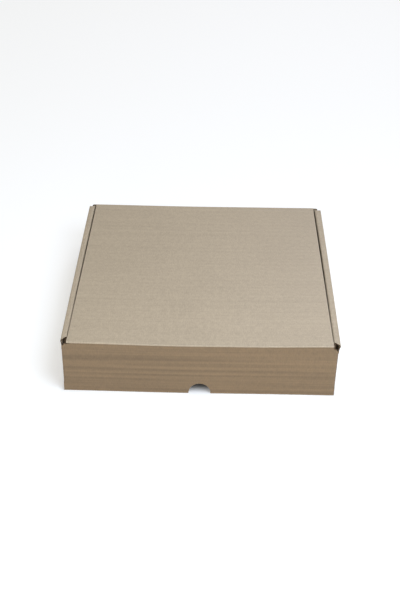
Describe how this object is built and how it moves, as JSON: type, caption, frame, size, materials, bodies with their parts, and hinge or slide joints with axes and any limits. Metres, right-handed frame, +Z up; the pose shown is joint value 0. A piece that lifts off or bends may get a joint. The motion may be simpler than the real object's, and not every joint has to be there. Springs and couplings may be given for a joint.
{
  "type": "cardboard mailer box",
  "caption": "Shallow folded box of thin corrugated board with rolled side walls, a hinged lid and a front flap that tucks in by its ears.",
  "frame": {"origin": "centre of the box's footprint, on the surface that it stands on", "axes": "+X is the width, to the right seen from the front; the front with the finger notch faces -Y; +Z is up"},
  "size_m": [0.3136, 0.3048, 0.0695],
  "materials": {
    "kraft_board": "matte",
    "kraft_board_lid": "matte",
    "kraft_board_flap": "matte"
  },
  "bodies": {
    "tray": {"tray": "kraft_board"},
    "lid": {"lid": "kraft_board_lid"},
    "front_flap": {"front_flap": "kraft_board_flap"}
  },
  "joints": [
    {"name": "lid_crease", "type": "hinge", "parent": "tray", "child": "lid", "pos_m": [0, 0.1524, 0.0695], "axis": [-1, 0, 0], "range_deg": [0, 180]},
    {"name": "front_flap_crease", "type": "hinge", "parent": "lid", "child": "front_flap", "pos_m": [0, -0.1524, 0.0695], "axis": [-1, 0, 0], "range_deg": [0, 120]}
  ]
}
